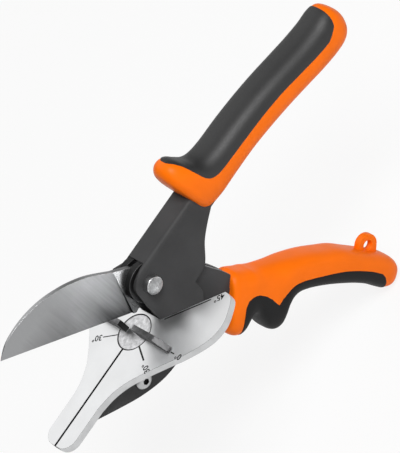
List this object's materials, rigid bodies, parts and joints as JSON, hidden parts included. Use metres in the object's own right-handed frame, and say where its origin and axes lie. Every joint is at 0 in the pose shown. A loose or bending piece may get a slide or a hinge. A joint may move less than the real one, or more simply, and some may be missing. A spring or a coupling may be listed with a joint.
{
  "type": "mitre shears",
  "caption": "Hand mitre shears: a pivoting blade on a sprung lever closes on a winged table with a turning angle fence, worked by soft-grip plastic handles.",
  "frame": {"origin": "turning centre of the fence, on the table's top face", "axes": "+X back along the cut to the handles, +Z the table's normal, Y along the blade's pivot"},
  "size_m": [0.2558, 0.0951, 0.186],
  "materials": {
    "black_coat": "fine satin black coat",
    "arm_black": "satin black",
    "table_metal": "satin, fine lengthwise grain",
    "fence_metal": "cast, mottled",
    "blade_steel": "ground",
    "bright_steel": "plated",
    "bush_bronze": "turned",
    "washer_plastic": "moulded",
    "spring_steel": "drawn wire",
    "orange_plastic": "fine moulded grain",
    "black_grip": "matt, stippled"
  },
  "bodies": {
    "upper_lever": {"channel_frame": "black_coat", "mitre_table": "table_metal", "table_bracket": "black_coat", "table_screws": "bright_steel", "jaw_bolt": "bright_steel", "jaw_nut": "bright_steel", "pivot_bolt": "bright_steel", "pivot_nut": "bright_steel", "pivot_bush": "bush_bronze", "pivot_washers": "washer_plastic", "stop_pin": "bright_steel", "opening_spring": "spring_steel", "upper_handle_shell": "orange_plastic", "upper_handle_grip": "black_grip"},
    "lower_lever": {"blade": "blade_steel", "cheek_near": "arm_black", "cheek_far": "arm_black", "blade_rivets": "bright_steel", "tang_spacer": "bright_steel", "tang_rivets": "bright_steel", "lower_handle_shell": "orange_plastic", "lower_handle_grip": "black_grip"},
    "fence": {"mitre_fence": "fence_metal", "fence_screw": "bright_steel", "fence_washer": "bright_steel"}
  },
  "joints": [
    {"name": "blade_pivot", "type": "hinge", "parent": "upper_lever", "child": "lower_lever", "pos_m": [0.0226, 0, 0.0166], "axis": [0, -1, 0], "range_deg": [0, 41], "stiffness_Nm_per_rad": 0.6, "springref_deg": -34.38, "deforming": ["opening_spring"]},
    {"name": "fence_swing", "type": "hinge", "parent": "upper_lever", "child": "fence", "pos_m": [0, 0, 0], "axis": [0, 0, 1], "range_deg": [-45, 45]}
  ]
}
